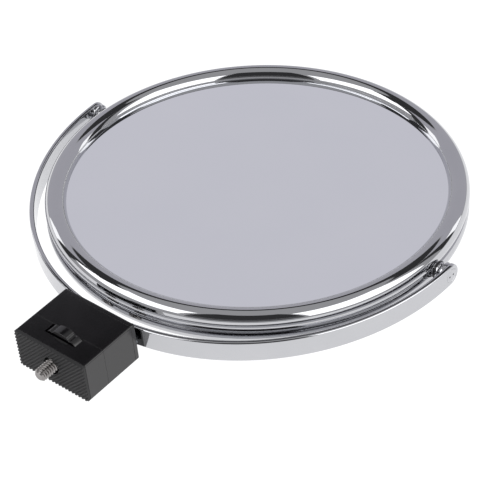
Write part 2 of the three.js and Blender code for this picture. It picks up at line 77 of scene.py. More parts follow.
pin_low, pin_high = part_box("pivot_pin_right")
PIVOT = Vector((0, (pin_low.y + pin_high.y) / 2, (pin_low.z + pin_high.z) / 2))
IN_MIRROR = Matrix.Translation(PIVOT) @ Matrix.Rotation(-REST_TILT, 4, "X")
ROUND_MIRROR = IN_MIRROR @ Matrix.Translation((0, -PIVOT_RISE * MM, 0))
IN_YOKE = Matrix.Translation(PIVOT)
TURNED_TO = {
    "+Z": Matrix.Identity(4),
    "-Z": Matrix.Rotation(math.pi, 4, "X"),
    "+X": Matrix.Rotation(math.pi / 2, 4, "Y"),
    "-X": Matrix.Rotation(-math.pi / 2, 4, "Y"),
    "+Y": Matrix.Rotation(-math.pi / 2, 4, "X"),
}


def spun(points, steps=128, fillet=0.0, closed=True, rounds=4):
    """A turned solid about Z from (radius, height) corners, its corners rounded by a fillet."""
    bm = bmesh.new()
    verts = [bm.verts.new((radius * MM, 0, height * MM)) for radius, height in points]
    for pair in zip(verts, verts[1:]):
        bm.edges.new(pair)
    if closed:
        bm.edges.new((verts[-1], verts[0]))
    if fillet:
        bends = [v for v in bm.verts if len(v.link_edges) == 2]
        bmesh.ops.bevel(bm, geom=bends, offset=fillet * MM, affect="VERTICES",
                        segments=rounds, profile=0.5, material=-1)
    bmesh.ops.spin(bm, geom=bm.verts[:] + bm.edges[:], axis=(0, 0, 1), angle=math.tau,
                   steps=steps, use_merge=True)
    bmesh.ops.remove_doubles(bm, verts=bm.verts, dist=1e-6)
    bmesh.ops.recalc_face_normals(bm, faces=bm.faces)
    return bm


def rod(radius, start, end, steps=64, fillet=0.0):
    """A turned rod about Z, whole or with rounded ends."""
    corners = [(0, start), (radius, start), (radius, end), (0, end)]
    return spun(corners, steps, fillet, closed=False)


def loose_object(name, bm):
    mesh = bpy.data.meshes.new(name)
    bm.to_mesh(mesh)
    bm.free()
    shown = bpy.data.objects.new(name, mesh)
    bpy.context.collection.objects.link(shown)
    return shown


def combined(operation, bm, *others):
    """One solid joined to, cut by or trimmed to the others, as a boolean operation says."""
    body = loose_object("body", bm)
    tools = [loose_object("tool", other) for other in others]
    for tool in tools:
        modifier = body.modifiers.new(operation, "BOOLEAN")
        modifier.operation = operation
        modifier.solver = "EXACT"
        modifier.object = tool
    result = bmesh.new()
    result.from_object(body, bpy.context.evaluated_depsgraph_get())
    for used in (body, *tools):
        bpy.data.meshes.remove(used.data)
    bmesh.ops.remove_doubles(result, verts=result.verts, dist=1e-7)
    return result


def piece(name, bm, place, material, smooth=32):
    """The finished piece: set in its place, smooth up to an angle, with its flats kept flat."""
    bm.transform(place)
    if place.determinant() < 0:
        bmesh.ops.reverse_faces(bm, faces=bm.faces)
    made = loose_object(name, bm)
    made.data.polygons.foreach_set("use_smooth", [True] * len(made.data.polygons))
    made.data.set_sharp_from_angle(angle=math.radians(smooth))
    made.data.materials.append(material)
    weighted = made.modifiers.new("flat faces", "WEIGHTED_NORMAL")
    weighted.keep_sharp = True
    weighted.weight = 100
    return made


def draw_out(bm, length):
    """Draws a flat outline out along Z into a closed bar of this length, in millimetres."""
    drawn = bmesh.ops.extrude_face_region(bm, geom=bm.faces[:], use_keep_orig=True)
    far = [v for v in drawn["geom"] if isinstance(v, bmesh.types.BMVert)]
    bmesh.ops.translate(bm, verts=far, vec=(0, 0, length * MM))
    bmesh.ops.recalc_face_normals(bm, faces=bm.faces)


def linear(colour):
    """An sRGB hex colour as the linear RGBA that a shader reads."""
    shares = [int(colour[i:i + 2], 16) / 255 for i in (1, 3, 5)]
    return (*(s / 12.92 if s <= 0.04045 else ((s + 0.055) / 1.055) ** 2.4 for s in shares), 1)


def surface(name, constants):
    """A new material with these values on its shader's own sockets."""
    material = bpy.data.materials.new(name)
    material.use_nodes = True
    shader = material.node_tree.nodes["Principled BSDF"]
    for socket, value in constants.items():
        shader.inputs[socket].default_value = value
    return material, material.node_tree, shader


def add(tree, kind, settings, links):
    """Adds a node with its options and input values, and links its inputs to their sources."""
    node = tree.nodes.new("ShaderNode" + kind)
    for key, value in settings.items():
        if isinstance(key, str) and key not in node.inputs:
            setattr(node, key, value)
    for key, value in settings.items():
        if isinstance(key, int) or key in node.inputs:
            node.inputs[key].default_value = value
    for key, source in links.items():
        tree.links.new(source, node.inputs[key])
    return node


def dress(tree, shader, tint, haze, relief=None):
    """Links a material's colour, roughness and, where it has one, its relief to the shader."""
    tree.links.new(tint.outputs[2], shader.inputs["Base Color"])
    tree.links.new(haze.outputs["Result"], shader.inputs["Roughness"])
    if relief:
        tree.links.new(relief.outputs["Normal"], shader.inputs["Normal"])


# Zinc plate on rolled strip: a dull bluish grey, clouded where the bath ran off it.
zinc, tree, shader = surface("zinc_plated_steel_barrel_plated", {"Metallic": 1.0})
where = add(tree, "TexCoord", {}, {}).outputs["Object"]
clouds = add(tree, "TexNoise", {"Scale": 1 / (6 * MM), "Detail": 4}, {"Vector": where})
grain = add(tree, "TexNoise", {"Scale": 1 / (0.4 * MM), "Detail": 2}, {"Vector": where})
tint = add(tree, "Mix", {"data_type": "RGBA", 6: linear(ZINC_SHADE), 7: linear(ZINC)},
           {0: clouds.outputs["Fac"]})
haze = add(tree, "MapRange", {"To Min": 0.28, "To Max": 0.46}, {"Value": clouds.outputs["Fac"]})
relief = add(tree, "Bump", {"Strength": 0.3, "Distance": 0.02 * MM}, {"Height": grain.outputs["Fac"]})
dress(tree, shader, tint, haze, relief)

half = HOOP_HEIGHT / 2
hoop = spun([(HOOP_OUTER - HOOP_SHEET, -half), (HOOP_OUTER, -half), (HOOP_OUTER, half),
             (HOOP_OUTER - HOOP_SHEET, half)], steps=256, fillet=0.3)
drill = rod(HOOP_HOLE, -HOOP_OUTER - 5, HOOP_OUTER + 5)
drill.transform(Matrix.Translation((0, PIVOT_RISE * MM, 0)) @ TURNED_TO["+X"])
rim_hoop = piece("hoop_of_the_rim", combined("DIFFERENCE", hoop, drill), ROUND_MIRROR, zinc)
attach(rim_hoop, "mirror")
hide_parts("rim_hoop")

# ---- Glass spacer ring ----
# A flat ring of white polypropylene, injection moulded. It holds the two glasses apart and lies
# loose between their silvered backs.

SPACER_RING_OUTER = 93.4
SPACER_RING_INNER = 86.2
SPACER_RING_TOP = 1.5
SPACER_RING_FOOT = -1.15
WHITE = "#e6e3db"
WHITE_SHADE = "#d9d6cc"

# Moulded white polypropylene: a soft milky white with a faint satin skin.
white, tree, shader = surface("white_polypropylene_moulded", {
    "Subsurface Weight": 0.15, "Subsurface Scale": 0.8 * MM, "IOR": 1.49})
where = add(tree, "TexCoord", {}, {}).outputs["Object"]
flow = add(tree, "TexNoise", {"Scale": 1 / (9 * MM), "Detail": 3}, {"Vector": where})
skin = add(tree, "TexNoise", {"Scale": 1 / (0.5 * MM), "Detail": 2}, {"Vector": where})
tint = add(tree, "Mix", {"data_type": "RGBA", 6: linear(WHITE_SHADE), 7: linear(WHITE)},
           {0: flow.outputs["Fac"]})
haze = add(tree, "MapRange", {"To Min": 0.4, "To Max": 0.52}, {"Value": skin.outputs["Fac"]})
relief = add(tree, "Bump", {"Strength": 0.25, "Distance": 0.02 * MM}, {"Height": skin.outputs["Fac"]})
dress(tree, shader, tint, haze, relief)

ring = spun([(SPACER_RING_INNER, SPACER_RING_FOOT), (SPACER_RING_OUTER, SPACER_RING_FOOT),
             (SPACER_RING_OUTER, SPACER_RING_TOP), (SPACER_RING_INNER, SPACER_RING_TOP)],
            steps=256, fillet=0.3)
spacer_ring = piece("ring_between_the_glasses", ring, ROUND_MIRROR, white)
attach(spacer_ring, "mirror")
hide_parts("glass_spacer_ring")

# ---- Glasses ----
# Two discs of 2 mm float glass, silvered and lacquered on the back, with ground edges. The front
# one is flat. The rear one was bent over a mould before it was silvered, so it magnifies.

GLASS_RADIUS = 93.4
GLASS_FACE = 3.8
GLASS_THICKNESS = 2.0
GLASS_ARRIS = 0.35
GLASS_SAG = 2.2
SILVER = "#f1f2f5"
SILVER_SHADE = "#eceef2"

# Silvered float glass: an even, cool image with no grain, behind a clear glossy face.
mirror_glass, tree, shader = surface("float_glass_silvered", {
    "Metallic": 1.0, "Coat Weight": 1.0, "Coat Roughness": 0.0, "Coat IOR": 1.52})
where = add(tree, "TexCoord", {}, {}).outputs["Object"]
film = add(tree, "TexNoise", {"Scale": 1 / (45 * MM), "Detail": 2}, {"Vector": where})
tint = add(tree, "Mix", {"data_type": "RGBA", 6: linear(SILVER_SHADE), 7: linear(SILVER)},
           {0: film.outputs["Fac"]})
haze = add(tree, "MapRange", {"To Min": 0.008, "To Max": 0.02}, {"Value": film.outputs["Fac"]})
dress(tree, shader, tint, haze)

GLASS_STEPS = 20
flat_disc = spun([(0, GLASS_FACE - GLASS_THICKNESS), (GLASS_RADIUS, GLASS_FACE - GLASS_THICKNESS),
                  (GLASS_RADIUS, GLASS_FACE), (0, GLASS_FACE)],
                 steps=256, fillet=GLASS_ARRIS, closed=False, rounds=2)
shares = [i / GLASS_STEPS for i in range(GLASS_STEPS + 1)]
hollow = [(GLASS_RADIUS * s, GLASS_FACE - GLASS_SAG * (1 - s * s)) for s in shares]
back = [(radius, height - GLASS_THICKNESS) for radius, height in hollow]
bent_disc = spun(back + hollow[::-1], steps=256, closed=False)
for name, disc, side in (("front_glass", flat_disc, "+Z"), ("rear_glass", bent_disc, "-Z")):
    glass = piece("silvered_" + name, disc, ROUND_MIRROR @ TURNED_TO[side], mirror_glass)
    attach(glass, "mirror")
    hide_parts(name)

# ---- Bezels ----
# Two rings spun from steel sheet and chromium plated. Each is a round bead that starts from a
# flange in the groove at the middle of the frame and ends in a lip that bears on its glass.

BEAD_RADIUS = 5.09
BEAD_CENTRE = 94.9
BEAD_HEIGHT = 3.4
BEZEL_SHEET = 0.8
SEAM_RADIUS = 97.4
SEAM_FLANGE = 1.9
SEAM_GAP = 0.06
SHOULDER = 0.85
LIP_GAP = 0.08
SOCKET_HOLE = 3.35
BEAD_STEPS = 56
CHROME = "#c2c2c5"
CHROME_SHADE = "#bbbcbf"

# Bright chromium plate on polished sheet: a hard mirror with a barely wavy image.
chrome, tree, shader = surface("chromium_plate_on_polished_sheet", {"Metallic": 1.0})
where = add(tree, "TexCoord", {}, {}).outputs["Object"]
cloud = add(tree, "TexNoise", {"Scale": 1 / (18 * MM), "Detail": 3}, {"Vector": where})
wave = add(tree, "TexNoise", {"Scale": 1 / (7 * MM), "Detail": 1}, {"Vector": where})
tint = add(tree, "Mix", {"data_type": "RGBA", 6: linear(CHROME_SHADE), 7: linear(CHROME)},
           {0: cloud.outputs["Fac"]})
haze = add(tree, "MapRange", {"To Min": 0.03, "To Max": 0.07}, {"Value": cloud.outputs["Fac"]})
relief = add(tree, "Bump", {"Strength": 0.15, "Distance": 0.02 * MM}, {"Height": wave.outputs["Fac"]})
dress(tree, shader, tint, haze, relief)


def bead_arc(radius, start, end, steps):
    """Points of a round bend about the middle of the bead, from one angle to another."""
    for i in range(steps + 1):
        angle = start + (end - start) * i / steps
        yield (BEAD_CENTRE + radius * math.cos(angle), BEAD_HEIGHT + radius * math.sin(angle))


bead_start = math.asin((SEAM_GAP + SHOULDER - BEAD_HEIGHT) / BEAD_RADIUS)
bead_end = math.pi - math.asin((GLASS_FACE + LIP_GAP - BEAD_HEIGHT) / BEAD_RADIUS)
sheet_section = [
    (SEAM_RADIUS - SEAM_FLANGE, SEAM_GAP),
    (SEAM_RADIUS, SEAM_GAP),
    *bead_arc(BEAD_RADIUS, bead_start, bead_end, BEAD_STEPS),
    *bead_arc(BEAD_RADIUS - BEZEL_SHEET, bead_end, bead_start, BEAD_STEPS // 2),
    (SEAM_RADIUS - BEZEL_SHEET / 2, SEAM_GAP + BEZEL_SHEET),
    (SEAM_RADIUS - SEAM_FLANGE, SEAM_GAP + BEZEL_SHEET),
]
for name, side in (("front_bezel", "+Z"), ("rear_bezel", "-Z")):
    drill = rod(SOCKET_HOLE, -BEAD_CENTRE - 10, BEAD_CENTRE + 10)
    rise = PIVOT_RISE if side == "+Z" else -PIVOT_RISE
    drill.transform(Matrix.Translation((0, rise * MM, 0)) @ TURNED_TO["+X"])
    rolled = combined("DIFFERENCE", spun(sheet_section, steps=320), drill)
    bezel = piece("rolled_" + name, rolled, ROUND_MIRROR @ TURNED_TO[side], chrome)
    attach(bezel, "mirror")
    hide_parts(name)

# ---- Pivot sockets ----
# Cups turned from steel and chromium plated. Each is pushed in where the bezels meet, and its
# tail is riveted through the hoop. Its flange lies on the crowns of the two beads.

HOOP_INNER = HOOP_OUTER - HOOP_SHEET
SOCKET_TAIL = 2.0
SOCKET_RADIUS = 3.2
SOCKET_START = HOOP_OUTER + 0.1
SOCKET_FLANGE_START = 100.3
SOCKET_END = 100.9
SOCKET_FLANGE_RADIUS = 3.9
SOCKET_BORE = 2.15
SOCKET_FLOOR = 0.8
TAIL_HEAD = 2.6
TAIL_HEAD_HEIGHT = 0.7
TAIL_HEAD_CHAMFER = 0.6
SIDES = (("left", "-X"), ("right", "+X"))

socket_section = [
    (0, HOOP_INNER - TAIL_HEAD_HEIGHT),
    (TAIL_HEAD - TAIL_HEAD_CHAMFER, HOOP_INNER - TAIL_HEAD_HEIGHT), (TAIL_HEAD, HOOP_INNER),
    (SOCKET_TAIL, HOOP_INNER), (SOCKET_TAIL, SOCKET_START), (SOCKET_RADIUS, SOCKET_START),
    (SOCKET_RADIUS, SOCKET_FLANGE_START), (SOCKET_FLANGE_RADIUS, SOCKET_FLANGE_START),
    (SOCKET_FLANGE_RADIUS, SOCKET_END), (SOCKET_BORE, SOCKET_END),
    (SOCKET_BORE, SOCKET_START + SOCKET_FLOOR), (0, SOCKET_START + SOCKET_FLOOR),
]
for side, axis in SIDES:
    cup = spun(socket_section, steps=72, fillet=0.18, closed=False)
    socket = piece("cup_of_the_pivot_" + side, cup, IN_MIRROR @ TURNED_TO[axis], chrome)
    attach(socket, "mirror")
    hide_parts("pivot_socket_" + side)

# ---- Friction washers ----
# Discs punched from black nylon sheet. Each is squeezed between its socket and its spacer, and
# holds the mirror where it is set.

WASHER_RADIUS = 4.3
WASHER_BORE = 2.1
WASHER_START = 100.98
WASHER_END = 102.0
NYLON = "#1a1a1d"
NYLON_WORN = "#242428"

# Punched black nylon: near black with a waxy skin, a little lighter where it has rubbed.
nylon, tree, shader = surface("black_nylon_punched", {"IOR": 1.53})
where = add(tree, "TexCoord", {}, {}).outputs["Object"]
worn = add(tree, "TexNoise", {"Scale": 1 / (2 * MM), "Detail": 3}, {"Vector": where})
grain = add(tree, "TexNoise", {"Scale": 1 / (0.2 * MM), "Detail": 2}, {"Vector": where})
tint = add(tree, "Mix", {"data_type": "RGBA", 6: linear(NYLON), 7: linear(NYLON_WORN)},
           {0: worn.outputs["Fac"]})
haze = add(tree, "MapRange", {"To Min": 0.3, "To Max": 0.45}, {"Value": worn.outputs["Fac"]})
relief = add(tree, "Bump", {"Strength": 0.3, "Distance": 0.01 * MM}, {"Height": grain.outputs["Fac"]})
dress(tree, shader, tint, haze, relief)

for side, axis in SIDES:
    disc = spun([(WASHER_BORE, WASHER_START), (WASHER_RADIUS, WASHER_START),
                 (WASHER_RADIUS, WASHER_END), (WASHER_BORE, WASHER_END)], steps=72, fillet=0.08)
    washer = piece("nylon_washer_" + side, disc, IN_YOKE @ TURNED_TO[axis], nylon)
    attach(washer, "yoke")
    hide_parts("friction_washer_" + side)

# ---- Pivot spacers ----
# Stepped collars turned from bar and chromium plated. They keep the frame clear of the yoke, and
# each has a waist between its nose and its broad foot on the band.

SPACER_START = 102.08
SPACER_END = 106.15
SPACER_BORE = 2.1
SPACER_NOSE_RADIUS = 4.2
SPACER_NOSE = 1.5
SPACER_WAIST_RADIUS = 3.3
SPACER_FOOT_RADIUS = 5.0
SPACER_FOOT = 1.8
SPACER_CHAMFER = 0.4

spacer_section = [
    (SPACER_BORE, SPACER_START), (SPACER_NOSE_RADIUS, SPACER_START),
    (SPACER_NOSE_RADIUS, SPACER_START + SPACER_NOSE - SPACER_CHAMFER),
    (SPACER_WAIST_RADIUS, SPACER_START + SPACER_NOSE),
    (SPACER_WAIST_RADIUS, SPACER_END - SPACER_FOOT),
    (SPACER_FOOT_RADIUS - SPACER_CHAMFER, SPACER_END - SPACER_FOOT),
    (SPACER_FOOT_RADIUS, SPACER_END - SPACER_FOOT + SPACER_CHAMFER),
    (SPACER_FOOT_RADIUS, SPACER_END), (SPACER_BORE, SPACER_END),
]
for side, axis in SIDES:
    collar = spun(spacer_section, steps=96, fillet=0.22)
    spacer = piece("collar_of_the_pivot_" + side, collar, IN_YOKE @ TURNED_TO[axis], chrome)
    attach(spacer, "yoke")
    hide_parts("pivot_spacer_" + side)

# ---- Yoke band ----
# Flat steel bar with rolled edges, bent to a half ring and chromium plated. The half ring is a
# little deeper than its half width, and its ends are rounded off about the pins.

BAND_INNER = 106.2
BAND_INNER_DEPTH = 109.2
BAND_THICKNESS = 2.4
BAND_HEIGHT = 10.8
BAND_EDGE = 0.9
BAND_STEPS = 160
EAR_STEPS = 14
PIN_RADIUS = 2.0
PIN_HEAD_RADIUS = 3.4
PIN_HEAD_DEPTH = 1.5
SNUG = 0.1
SCREW_X = 9.0
SCREW_RADIUS = 1.9
BAND_OUTER = BAND_INNER + BAND_THICKNESS
BAND_OUTER_DEPTH = BAND_INNER_DEPTH + BAND_THICKNESS


def band_rows():
    """The inner and outer face of the band and its half height, from one ear to the other."""
    half = BAND_HEIGHT / 2
    ear = []
    for i in range(EAR_STEPS + 1):
        angle = math.pi / 2 * i / EAR_STEPS
        ear.append((half * math.cos(angle), half * math.sin(angle)))
    for y, width in ear[:-1]:
        yield (-BAND_INNER, y), (-BAND_OUTER, y), width
    for i in range(BAND_STEPS + 1):
        angle = math.pi * i / BAND_STEPS
        x, y = -math.cos(angle), -math.sin(angle)
        yield ((BAND_INNER * x, BAND_INNER_DEPTH * y), (BAND_OUTER * x, BAND_OUTER_DEPTH * y), half)
    for y, width in ear[-2::-1]:
        yield (BAND_INNER, y), (BAND_OUTER, y), width


bm = bmesh.new()
rows = [[bm.verts.new((x * MM, y * MM, z * MM))
         for x, y, z in ((*inside, -width), (*outside, -width), (*outside, width), (*inside, width))]
        for inside, outside, width in band_rows()]
for row, following in zip(rows, rows[1:]):
    for i in range(4):
        bm.faces.new((row[i], row[(i + 1) % 4], following[(i + 1) % 4], following[i]))
bmesh.ops.remove_doubles(bm, verts=bm.verts, dist=1e-6)
bmesh.ops.recalc_face_normals(bm, faces=bm.faces)
rims = [e for e in bm.edges if e.calc_face_angle() > math.radians(60)]
bmesh.ops.bevel(bm, geom=rims, offset=BAND_EDGE * MM, affect="EDGES", segments=5,
                profile=0.5, material=-1)


def pin_hole(start, play, beyond):
    """The cutter of a pin's countersunk hole along Z, wider than the pin by some play."""
    radius, head = PIN_RADIUS + play, PIN_HEAD_RADIUS + play
    return spun([(0, start), (radius, start), (radius, BAND_OUTER - PIN_HEAD_DEPTH),
                 (head, BAND_OUTER), (head, BAND_OUTER + beyond), (0, BAND_OUTER + beyond)],
                steps=72, closed=False)


holes = []
for side, axis in SIDES:
    hole = pin_hole(BAND_INNER - 2, SNUG / 2, 1)
    hole.transform(TURNED_TO[axis])
    holes.append(hole)
for x in (-SCREW_X, SCREW_X):
    hole = rod(SCREW_RADIUS + SNUG, -BAND_OUTER_DEPTH - 2, -BAND_INNER_DEPTH + 5)
    hole.transform(Matrix.Translation((x * MM, 0, 0)) @ TURNED_TO["+Y"])
    holes.append(hole)
band = piece("bent_band_of_the_yoke", combined("DIFFERENCE", bm, *holes), IN_YOKE, chrome)
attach(band, "yoke")
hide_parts("yoke_band")

# ---- Pivot pins ----
# Steel pins, chromium plated. Each is driven from outside with a pin wrench, which fits the two
# small holes in its countersunk head, and ends flush with the band.

PIN_START = 96.6
WRENCH_HOLE = 0.45
WRENCH_HOLE_SPACING = 2.6
WRENCH_HOLE_DEPTH = 0.9

for side, axis in SIDES:
    neck = BAND_OUTER - PIN_HEAD_DEPTH
    blank = spun([(0, PIN_START), (PIN_RADIUS, PIN_START), (PIN_RADIUS, neck),
                  (PIN_HEAD_RADIUS, BAND_OUTER), (0, BAND_OUTER)],
                 steps=72, fillet=0.12, closed=False)
    blank.transform(TURNED_TO[axis])
    holes = []
    for y in (-WRENCH_HOLE_SPACING / 2, WRENCH_HOLE_SPACING / 2):
        hole = rod(WRENCH_HOLE, BAND_OUTER - WRENCH_HOLE_DEPTH, BAND_OUTER + 1, steps=32)
        hole.transform(Matrix.Translation((0, y * MM, 0)) @ TURNED_TO[axis])
        holes.append(hole)
    pin = piece("flush_pin_" + side, combined("DIFFERENCE", blank, *holes), IN_YOKE, chrome)
    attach(pin, "yoke")
    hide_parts("pivot_pin_" + side)

# ---- Back plate ----
# A plate of black ABS, injection moulded, that closes the block and bears on the band. The
# edges round its rear face are rounded over, and four screw heads are sunk in it.

BLOCK_CORNER = 0.8
PLATE_ROUND = 1.6
PARTING_EDGE = 0.08
PARTING_CLOSED = 0.05  # each half comes this much nearer to its neighbour than the frame shows
POST_X = 15.6
POST_Z = 5.6
SMALL_SCREW = 1.0
SMALL_HEAD = 2.1
SMALL_HEAD_DEPTH = 1.4
SMALL_PASSAGE = SMALL_SCREW + 0.4
PLAY = 0.15  # room round a piece that turns or drops in
BLACK = "#0d0b0e"
BLACK_SHADE = "#09080a"
BLOCK_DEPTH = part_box("back_plate")[1].y / MM
ALONG_Y = TURNED_TO["+Y"]
POSTS = [(x * POST_X, z * POST_Z) for z in (-1, 1) for x in (-1, 1)]

# Moulded black ABS: a satin black whose fine spark-eroded grain greys its highlights.
abs_plastic, tree, shader = surface("black_abs_moulded", {
    "IOR": 1.53, "Specular IOR Level": 0.6})
where = add(tree, "TexCoord", {}, {}).outputs["Object"]
flow = add(tree, "TexNoise", {"Scale": 1 / (12 * MM), "Detail": 3}, {"Vector": where})
grain = add(tree, "TexNoise", {"Scale": 1 / (0.55 * MM), "Detail": 3}, {"Vector": where})
tint = add(tree, "Mix", {"data_type": "RGBA", 6: linear(BLACK_SHADE), 7: linear(BLACK)},
           {0: flow.outputs["Fac"]})
haze = add(tree, "MapRange", {"To Min": 0.12, "To Max": 0.2}, {"Value": flow.outputs["Fac"]})
relief = add(tree, "Bump", {"Strength": 0.25, "Distance": 0.03 * MM}, {"Height": grain.outputs["Fac"]})
dress(tree, shader, tint, haze, relief)


def bar(low, high):
    """A plain bar between two corners, in metres."""
    bm = bmesh.new()
    bmesh.ops.create_cube(bm, size=1)
    size, middle = high - low, (high + low) / 2
    bm.transform(Matrix.Translation(middle) @ Matrix.Diagonal((*size, 1)))
    return bm


def moulding(low, high, front_edge, rear_edge):
    """A moulded bar of the block's outline, each of its two ends with a rounded edge."""
    bm = bar(low, high)
    lengthwise = [e for e in bm.edges if abs(e.verts[0].co.y - e.verts[1].co.y) > 1e-6]
    bmesh.ops.bevel(bm, geom=lengthwise, offset=BLOCK_CORNER * MM, affect="EDGES",
                    segments=6, profile=0.5, material=-1)
    for level, edge in ((low.y, front_edge), (high.y, rear_edge)):
        around = [e for e in bm.edges if all(abs(v.co.y - level) < 1e-7 for v in e.verts)]
        bmesh.ops.bevel(bm, geom=around, offset=edge * MM, affect="EDGES", segments=5,
                        profile=0.5, material=-1, clamp_overlap=True)
    bmesh.ops.remove_doubles(bm, verts=bm.verts, dist=1e-6)
    return bm


def at_posts(make):
    """Four copies of a solid of the block, one for each screw post."""
    every = bmesh.new()
    for x, z in POSTS:
        copy = make()
        copy.transform(Matrix.Translation((x * MM, 0, z * MM)) @ ALONG_Y)
        mesh = bpy.data.meshes.new("copy")
        copy.to_mesh(mesh)
        copy.free()
        every.from_mesh(mesh)
        bpy.data.meshes.remove(mesh)
    return every


def along_block(bm, x=0.0):
    """A turned solid laid along the block's length, at a distance from its middle."""
    bm.transform(Matrix.Translation((x * MM, 0, 0)) @ ALONG_Y)
    return bm


low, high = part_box("back_plate")
plate = combined(
    "DIFFERENCE", moulding(low, high, PARTING_EDGE, PLATE_ROUND),
    at_posts(lambda: rod(SMALL_PASSAGE, 0, BLOCK_DEPTH + 2)),
    at_posts(lambda: rod(SMALL_HEAD + PLAY, BLOCK_DEPTH - SMALL_HEAD_DEPTH - 0.1, BLOCK_DEPTH + 2)),
    *[along_block(rod(SCREW_RADIUS + SNUG, 0, BLOCK_DEPTH + 2), x) for x in (-SCREW_X, SCREW_X)],
)
back_plate = piece("moulded_back_plate", plate, Matrix.Identity(4), abs_plastic)
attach(back_plate, "yoke")
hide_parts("back_plate")

# ---- Rear housing ----
# The longer half of the block, moulded in black ABS. Its front wall is the rear bearing of the
# stud, and its hollow holds four screw posts and the two posts of the brass inserts.

WALL = 2.4
POST_RADIUS = 2.6
BEARING_WALL_END = 17.0
INSERT_POST_RADIUS = 4.1
INSERT_RADIUS = 3.0
INSERT_LENGTH = 8.2
WHEEL_FRONT = 8.1
WHEEL_REAR = 12.9
THRUST_WASHER_RADIUS = 5.3
THRUST_WASHER = 0.6
JOURNAL_RADIUS = 2.5
TURNING_PLAY = 0.3  # room round the washers, the wheel and the stud


def hollow_of(low, high, start, end):
    """The hollow inside the walls of the block, between two depths."""
    return bar(Vector((low.x + WALL * MM, start * MM, low.z + WALL * MM)),
               Vector((high.x - WALL * MM, end * MM, high.z - WALL * MM)))


low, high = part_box("rear_housing")
rear_end = high.y / MM
low.y -= PARTING_CLOSED * MM
high.y += PARTING_CLOSED * MM
walls = combined("DIFFERENCE", moulding(low, high, PARTING_EDGE, PARTING_EDGE),
                 hollow_of(low, high, BEARING_WALL_END, rear_end + 1))
walls = combined(
    "UNION", walls,
    at_posts(lambda: rod(POST_RADIUS, BEARING_WALL_END - 1, rear_end - 0.02)),
    *[along_block(rod(INSERT_POST_RADIUS, BEARING_WALL_END - 1, rear_end - 0.03), x)
      for x in (-SCREW_X, SCREW_X)],
)
rear = combined(
    "DIFFERENCE", walls,
    at_posts(lambda: rod(SMALL_PASSAGE, 0, BLOCK_DEPTH)),
    along_block(rod(THRUST_WASHER_RADIUS + TURNING_PLAY, 5,
                    WHEEL_REAR + THRUST_WASHER + TURNING_PLAY)),
    along_block(rod(JOURNAL_RADIUS + PLAY, 5, BEARING_WALL_END + 1)),
    *[along_block(rod(INSERT_RADIUS + SNUG, rear_end - INSERT_LENGTH - PLAY, rear_end + 1), x)
      for x in (-SCREW_X, SCREW_X)],
)
rear_housing = piece("moulded_rear_housing", rear, Matrix.Identity(4), abs_plastic)
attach(rear_housing, "yoke")
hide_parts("rear_housing")

# ---- Front housing ----
# The shorter half of the block, moulded in black ABS. Its round bay holds the hand wheel, which
# shows through a slot in the top and one in the bottom, and a boss guides the stud.

FRONT_WALL = 3.1
BAY_RADIUS = 13.6
BAY_START = 7.5
STUD_RADIUS = 3.175
PILOT_START = 6.45

low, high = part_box("front_housing")
front_start, front_end = low.y / MM, high.y / MM
high.y += PARTING_CLOSED * MM
shell = combined("DIFFERENCE", moulding(low, high, PARTING_EDGE, PARTING_EDGE),
                 hollow_of(low, high, front_start + FRONT_WALL, front_end + 1))
shell = combined(
    "UNION", shell,
    at_posts(lambda: rod(POST_RADIUS, front_start + FRONT_WALL / 2, front_end - 0.02)),
    along_block(rod(THRUST_WASHER_RADIUS + 0.7, front_start + FRONT_WALL / 2,
                    WHEEL_FRONT - THRUST_WASHER - TURNING_PLAY)),
)
front = combined(
    "DIFFERENCE", shell,
    along_block(rod(BAY_RADIUS, BAY_START, front_end + 1, steps=128)),
    along_block(rod(STUD_RADIUS + TURNING_PLAY, 0, front_end)),
    at_posts(lambda: rod(SMALL_SCREW + SNUG, PILOT_START, front_end + 1)),
)
front_housing = piece("moulded_front_housing", front, Matrix.Identity(4), abs_plastic)
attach(front_housing, "yoke")
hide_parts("front_housing")

# ---- Grip pad ----
# A ribbed sheet of black rubber, pressed in a mould and glued to the front of the block. It bites
# on the arm when the stud pulls the head tight.

PAD_THICKNESS = 1.6
RIB_PITCH = 1.4
RIB_DEPTH = 0.45
RIB_CREST = 0.6
RIB_FLOOR = 0.4
RIB_ANGLE = math.radians(45)
RIB_ROUND = 0.08
PAD_EDGE = 0.02
PAD_HOLE = 4.3
RUBBER = "#1f1f20"
RUBBER_DUST = "#3a3a3b"

# Pressed black rubber: matt, a little greyer where dust has settled between the ribs.
rubber, tree, shader = surface("black_rubber_pressed", {"IOR": 1.5, "Specular IOR Level": 0.35})
where = add(tree, "TexCoord", {}, {}).outputs["Object"]
specks = add(tree, "TexNoise", {"Scale": 1 / (0.8 * MM), "Detail": 4}, {"Vector": where})
patches = add(tree, "TexNoise", {"Scale": 1 / (9 * MM), "Detail": 3}, {"Vector": where})
tint = add(tree, "Mix", {"data_type": "RGBA", 6: linear(RUBBER), 7: linear(RUBBER_DUST)},
           {0: patches.outputs["Fac"]})
haze = add(tree, "MapRange", {"To Min": 0.6, "To Max": 0.85}, {"Value": patches.outputs["Fac"]})
relief = add(tree, "Bump", {"Strength": 0.5, "Distance": 0.05 * MM}, {"Height": specks.outputs["Fac"]})
dress(tree, shader, tint, haze, relief)

